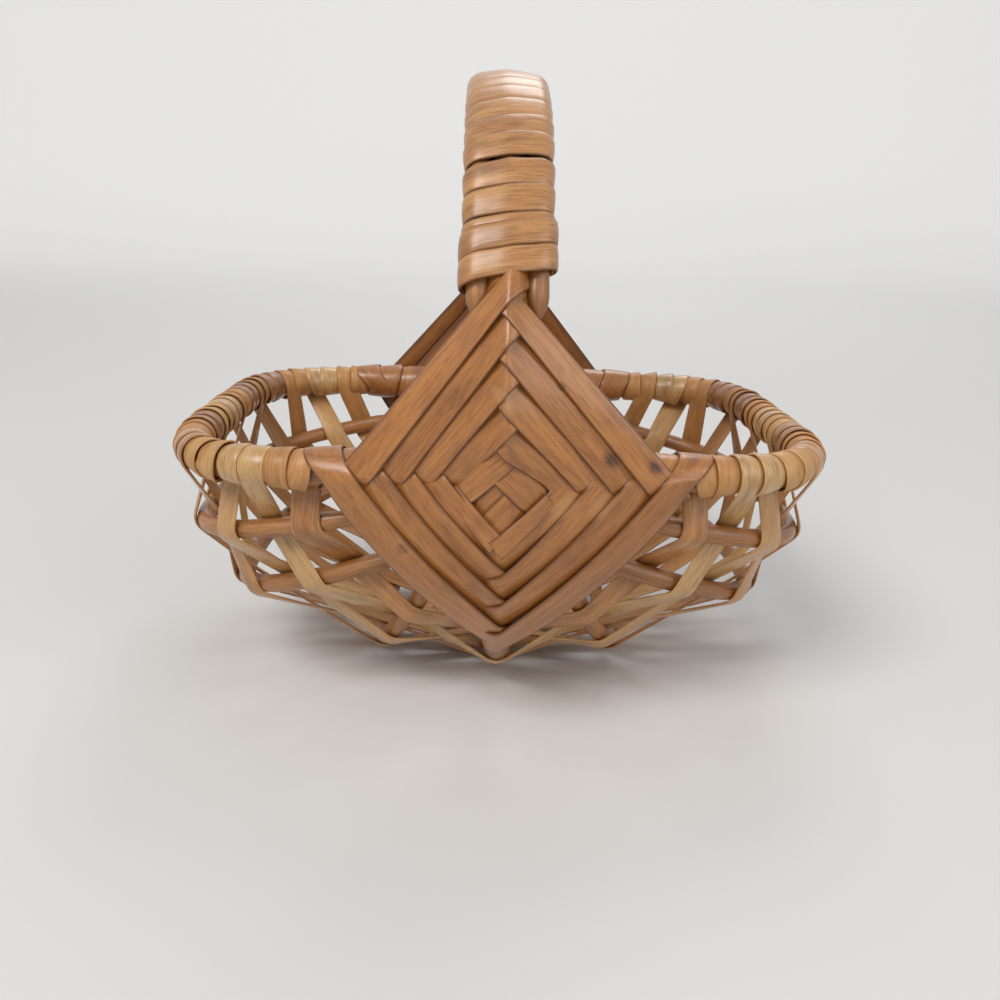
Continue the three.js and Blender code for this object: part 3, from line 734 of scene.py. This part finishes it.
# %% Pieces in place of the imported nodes
stands_for = {"rim_rod": "rim_hoop", "hoop_rod": "handle_hoop", "handle_strip": "handle_wrap"}
stands_for |= {"foot_strip_front": "foot_band_front", "foot_strip_rear": "foot_band_rear"}
stands_for |= {"lashing_front": "gods_eye_front", "lashing_rear": "gods_eye_rear"}
for word in ("left", "right"):
    stands_for[f"handle_rod_{word}"] = f"handle_side_rod_{word}"
    stands_for |= {f"rib_rod_{word}_{k}": f"rib_{word}_{k}" for k in (1, 2, 3)}
stands_for |= {f"weaver_strip_{k:02d}": f"weaver_{k:02d}" for k in range(1, WEAVERS + 1)}
for name, piece in pieces.items():
    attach(piece, "root")
    if name in stands_for:
        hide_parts(stands_for[name])
print(len(stands_for), "pieces stand for packed nodes")

# %% [markdown]
# Shader maths reads best as plain expressions. This class wraps a socket, and each operator adds the Math
# node that it names.

# %% Sockets as expressions
class Flow:
    def __init__(self, tree, socket):
        self.tree, self.socket = tree, socket

    def node(self, kind, settings=None, output=0, **inputs):
        made = self.tree.nodes.new(kind)
        for key, value in (settings or {}).items():
            setattr(made, key, value)
        for key, value in inputs.items():
            place = int(key[1:]) if key[0] == "i" and key[1:].isdigit() else key.replace("_", " ")
            if isinstance(value, Flow):
                self.tree.links.new(value.socket, made.inputs[place])
            else:
                made.inputs[place].default_value = value
        return Flow(self.tree, made.outputs[output])

    def maths(self, operation, a, b=0.0):
        return self.node("ShaderNodeMath", {"operation": operation}, i0=a, i1=b)

    def __add__(self, other):
        return self.maths("ADD", self, other)

    def __sub__(self, other):
        return self.maths("SUBTRACT", self, other)

    def __rsub__(self, other):
        return self.maths("SUBTRACT", other, self)

    def __mul__(self, other):
        return self.maths("MULTIPLY", self, other)

    def __truediv__(self, other):
        return self.maths("DIVIDE", self, other)

    __radd__, __rmul__ = __add__, __mul__

    def ramp(self, low, high):
        """0 below low, 1 above high, and smooth between."""
        settings = {"interpolation_type": "SMOOTHSTEP"}
        return self.node("ShaderNodeMapRange", settings, Value=self, From_Min=low, From_Max=high)

    def noise(self, vector, detail=3.0, roughness=0.5):
        return self.node("ShaderNodeTexNoise", Vector=vector, Scale=1.0, Detail=detail, Roughness=roughness)

    def blend(self, a, b):
        """A colour between two, by this value."""
        return self.node("ShaderNodeMix", {"data_type": "RGBA"}, output=2, i0=self, i6=a, i7=b)

    def number(self, name):
        return self.node("ShaderNodeAttribute", {"attribute_name": name}, output=2)

    def vector(self, x, y, z):
        return self.node("ShaderNodeCombineXYZ", X=x, Y=y, Z=z)


# %% [markdown]
# The willow's finish is built from its grain: long fine fibres, broader bands of colour along the piece,
# a tone of its own for each skein, broken edges and an inner face of another colour. On the lashing and the
# handle that edge colour is dark, and there it is painted shade along the seams between the strands. A
# picture of wood would have to be bent round every loop, while noise that is stretched along the grain's
# numbers follows each bend by itself. A thin coat of varnish gives the satin gloss.

# %% Willow finishes
def colour(red, green, blue):
    """A colour as seen on screen, from 0 to 255, as the light values that a shader takes."""
    seen = [c / 255 for c in (red, green, blue)]
    linear = [c / 12.92 if c <= 0.04045 else ((c + 0.055) / 1.055) ** 2.4 for c in seen]
    return (*linear, 1.0)


def spot(flow, x, z, rising, falling):
    """1 at a place on the front of the basket, in millimetres, and 0 outside a slanting oval round it."""
    place = flow.node("ShaderNodeNewGeometry")
    parts = [flow.node("ShaderNodeSeparateXYZ", output=k, Vector=place) for k in (0, 1, 2)]
    beside, above = parts[0] / MM - x, parts[2] / MM - z
    up, down = (beside + above) / (1.4 * rising), (beside - above) / (1.4 * falling)
    near = 1 - (up * up + down * down).ramp(0.0, 1.2)
    return near * (1 - parts[1].ramp(-0.02, 0.0))


def willow(name, light, body, dark, edge_and_seam_shade, gloss, edge_share, under_share, marks_and_highlights=(), straw=None):
    """Willow in four colours, of which the last is on the edges and the inner face; where it is dark, it is
    painted shade along the seams between strands.
    """
    material = bpy.data.materials.new(name)
    material.use_nodes = True
    tree = material.node_tree
    shader = tree.nodes["Principled BSDF"]
    flow = Flow(tree, None)
    run, across, edge = flow.number("run"), flow.number("across"), flow.number("edge")
    under, tone = flow.number("under"), flow.number("tone")
    fibres = flow.noise(flow.vector(run * 0.19, across * 3.8, tone * 60), 5.0, 0.62)
    bands = flow.noise(flow.vector(run * 0.03, across * 0.55, tone * 35), 3.0, 0.5)
    patches = flow.noise(flow.vector(run * 0.09, across * 0.25, tone * 20), 2.0, 0.5)
    specks = flow.noise(flow.vector(run * 0.6, across * 3.0, tone * 90), 2.0, 0.5)
    skin = (bands.ramp(0.32, 0.68) * 0.55 + tone * 0.45).blend(body, light)
    if straw:
        skin = (tone.ramp(0.62, 0.92) * 0.7).blend(skin, straw)
        skin = ((1 - tone.ramp(0.06, 0.3)) * 0.5).blend(skin, dark)
    skin = (patches.ramp(0.5, 0.75) * 0.45).blend(skin, dark)
    skin = (fibres.ramp(0.46, 0.66) * 0.5).blend(skin, dark)
    skin = ((1 - fibres.ramp(0.34, 0.46)) * 0.35).blend(skin, light)
    skin = (specks.ramp(0.68, 0.76) * 0.5).blend(skin, dark)
    # Where the edge colour is dark, as on the lashing and the handle, this paints shade along the seams
    # between strands.
    skin = (edge.ramp(0.55, 1.0) * edge_share).blend(skin, edge_and_seam_shade)
    skin = (under.ramp(0.4, 0.9) * under_share).blend(skin, edge_and_seam_shade)
    # Marks laid over the skin: knots and stains, and pale painted highlights.
    for mark in marks_and_highlights:
        streaky = 0.35 + 0.65 * fibres.ramp(0.35, 0.6)
        skin = (spot(flow, *mark[:4]) * streaky * mark[5]).blend(skin, mark[4])
    tree.links.new(skin.socket, shader.inputs["Base Color"])
    rough = 0.40 - 0.1 * gloss + fibres * 0.18 + under * 0.15
    tree.links.new(rough.socket, shader.inputs["Roughness"])
    coat = (1 - under * 0.7) * (0.45 * gloss)
    tree.links.new(coat.socket, shader.inputs["Coat Weight"])
    shader.inputs["Coat Roughness"].default_value = 0.22
    relief = fibres * 0.7 + bands * 0.5
    bump = flow.node("ShaderNodeBump", Height=relief, Strength=0.35, Distance=0.00012)
    tree.links.new(bump.socket, shader.inputs["Normal"])
    return material


woven_finish = willow(
    "woven_willow",
    light=colour(198, 144, 84), body=colour(162, 102, 48),
    dark=colour(100, 54, 22), edge_and_seam_shade=colour(206, 156, 98),
    gloss=1.2, edge_share=0.12, under_share=0.25, straw=colour(202, 166, 112),
)
# Dark knots and the stains round them, which the willow has, and a pale colour that paints highlights.
KNOT, PAINTED_HIGHLIGHT, STAIN = colour(58, 32, 16), colour(214, 168, 116), colour(104, 58, 26)
# Where a mark lies, in millimetres beside the middle and above the table, its half lengths along a rising
# and a falling slant, its colour and its strength. Knots and stains are the willow's own; the pale marks
# are painted highlights on the strands.
lashing_marks_and_highlights = [
    (22.1, 66.3, 2.2, 2.8, STAIN, 0.9),
    (22.1, 66.3, 1.3, 1.8, KNOT, 1.0),
    (31.2, 64.6, 1.8, 2.5, STAIN, 0.9),
    (31.2, 64.6, 1.0, 1.7, KNOT, 1.0),
    (10.8, 81.5, 0.9, 1.3, KNOT, 1.0),
    (-20.7, 45.8, 1.4, 1.8, STAIN, 0.9),
    # Four pale painted highlights on the strands.
    (13.0, 56.6, 4.2, 2.2, PAINTED_HIGHLIGHT, 0.34),
    (20.5, 56.4, 4.6, 2.3, PAINTED_HIGHLIGHT, 0.4),
    (-0.4, 79.5, 1.6, 4.0, PAINTED_HIGHLIGHT, 0.25),
    (-19.0, 84.5, 4.5, 2.4, PAINTED_HIGHLIGHT, 0.6),
]
# Its dark edge colour, at a high share, is painted shade along the seams where one strand lies over the
# next; the same colour darkens the inner face.
lashing_finish = willow(
    "lashing_willow",
    light=colour(184, 122, 60), body=colour(154, 95, 41),
    dark=colour(100, 54, 20), edge_and_seam_shade=colour(84, 44, 16),
    gloss=1.0, edge_share=0.8, under_share=0.3, marks_and_highlights=lashing_marks_and_highlights,
)
# Its dark edge colour is painted shade in the seams and gaps between the loops; the same colour darkens the
# inner face.
handle_finish = willow(
    "handle_willow",
    light=colour(196, 144, 88), body=colour(164, 108, 58),
    dark=colour(100, 56, 26), edge_and_seam_shade=colour(92, 50, 22),
    gloss=1.0, edge_share=0.7, under_share=0.4,
)
rod_finish = willow(
    "rod_willow",
    light=colour(176, 120, 66), body=colour(140, 88, 42),
    dark=colour(84, 46, 20), edge_and_seam_shade=colour(190, 140, 90),
    gloss=0.7, edge_share=0.0, under_share=0.0,
)
for name, piece in pieces.items():
    if name.startswith("weaver"):
        finish, slot = woven_finish, "skein"
    elif name.startswith("lashing"):
        finish, slot = lashing_finish, "lashing"
    elif name.startswith(("handle_strip", "foot_strip")):
        finish, slot = handle_finish, "skein"
    else:
        finish, slot = rod_finish, "rod"
    piece.data.materials.append(finish)
print("finishes on", len(pieces), "pieces")

# %% [markdown]
# The basket stands on a plain pale sheet that curves up behind it, as in a photographer's studio, under
# broad soft lamps. The camera stands where the photograph was taken from.

# %% Floor and backdrop
BACKGROUND_PALENESS = 0.42
SHEET_HALF_WIDTH, SHEET_FRONT, SHEET_TOP = 3, -2.5, 3.0
BEND_BEGINS, BEND_RADIUS = 1.4, 0.8


def looked_at(flow):
    """1 for a ray that shows the background to the camera, straight, mirrored or through glass."""
    kinds = ("Camera", "Glossy", "Transmission")
    return sum(flow.node("ShaderNodeLightPath", output=f"Is {kind} Ray") for kind in kinds)


def make_backdrop():
    across = np.linspace(-SHEET_HALF_WIDTH, SHEET_HALF_WIDTH, 9)
    bend = np.linspace(0, np.pi / 2, 17)
    profile = [(SHEET_FRONT, 0.0), (0.0, 0.0), (1.0, 0.0)]
    profile += [(BEND_BEGINS + BEND_RADIUS * math.sin(a), BEND_RADIUS * (1 - math.cos(a))) for a in bend]
    profile += [(BEND_BEGINS + BEND_RADIUS, SHEET_TOP)]
    points = [(x, y, z) for y, z in profile for x in across]
    wide = len(across)
    faces = [
        (k * wide + i, k * wide + i + 1, (k + 1) * wide + i + 1, (k + 1) * wide + i)
        for k in range(len(profile) - 1)
        for i in range(wide - 1)
    ]
    mesh = bpy.data.meshes.new("studio_sheet")
    mesh.from_pydata(points, [], faces)
    mesh.polygons.foreach_set("use_smooth", [True] * len(faces))
    sheet = bpy.data.objects.new("studio_sheet", mesh)
    bpy.context.scene.collection.objects.link(sheet)
    material = bpy.data.materials.new("pale_paper")
    material.use_nodes = True
    shader = material.node_tree.nodes["Principled BSDF"]
    shader.inputs["Base Color"].default_value = colour(226, 226, 226)
    shader.inputs["Roughness"].default_value = 0.85
    # The sheet gets paler towards the back where it is looked at, and adds no soft light to the basket.
    flow = Flow(material.node_tree, None)
    depth = flow.node("ShaderNodeSeparateXYZ", output=1, Vector=flow.node("ShaderNodeNewGeometry"))
    paleness = depth.ramp(0.1, 2.0) * looked_at(flow) * BACKGROUND_PALENESS
    glow = flow.vector(paleness, paleness, paleness)
    material.node_tree.links.new(glow.socket, shader.inputs["Emission Color"])
    shader.inputs["Emission Strength"].default_value = 1.0
    mesh.materials.append(material)


make_backdrop()


# %% Light
def make_lamp(name, place, aim, size, power, tint=(1, 1, 1)):
    data = bpy.data.lights.new(name, "AREA")
    data.shape, data.size, data.energy, data.color = "DISK", size, power, tint
    lamp = bpy.data.objects.new(name, data)
    lamp.location = place
    lamp.rotation_euler = (Vector(aim) - Vector(place)).to_track_quat("-Z", "Y").to_euler()
    bpy.context.scene.collection.objects.link(lamp)


ROOM_LIGHT = 0.35
middle = (0, 0, 0.07)
make_lamp("window", (-0.55, -0.75, 1.05), middle, 0.7, 10.5, (1.0, 0.98, 0.95))
make_lamp("fill", (0.9, -0.7, 0.6), middle, 0.9, 3.6)
make_lamp("back", (0.2, 0.8, 1.0), middle, 0.6, 3)
world = bpy.data.worlds.new("soft_room")
world.use_nodes = True
room = world.node_tree.nodes["Background"]
room.inputs["Color"].default_value = (1.0, 0.99, 0.97, 1.0)
strength = ROOM_LIGHT + looked_at(Flow(world.node_tree, None)) * BACKGROUND_PALENESS
world.node_tree.links.new(strength.socket, room.inputs["Strength"])
bpy.context.scene.world = world
bpy.context.scene.view_settings.view_transform = "Standard"

# %% Camera
CAMERA_PLACE = np.array([-4.687, -259.436, 116.212])
PITCH, ROLL, YAW = 0.29, 0.025, 0.021
ahead = np.array([math.sin(YAW) * math.cos(PITCH), math.cos(YAW) * math.cos(PITCH), -math.sin(PITCH)])
level_right = np.array([math.cos(YAW), -math.sin(YAW), 0.0])
level_up = np.cross(level_right, ahead)
right = math.cos(ROLL) * level_right + math.sin(ROLL) * level_up
up = -math.sin(ROLL) * level_right + math.cos(ROLL) * level_up
camera_data = bpy.data.cameras.new("photograph")
camera_data.sensor_width = 36
camera_data.lens = 36
camera_data.clip_start = 0.01
camera = bpy.data.objects.new("photograph", camera_data)
bpy.context.scene.collection.objects.link(camera)
stand = np.eye(4)
stand[:3, 0], stand[:3, 1], stand[:3, 2], stand[:3, 3] = right, up, -ahead, CAMERA_PLACE * MM
camera.matrix_world = Matrix(stand.tolist())
bpy.context.scene.camera = camera

# %% The end
bpy.context.view_layer.update()
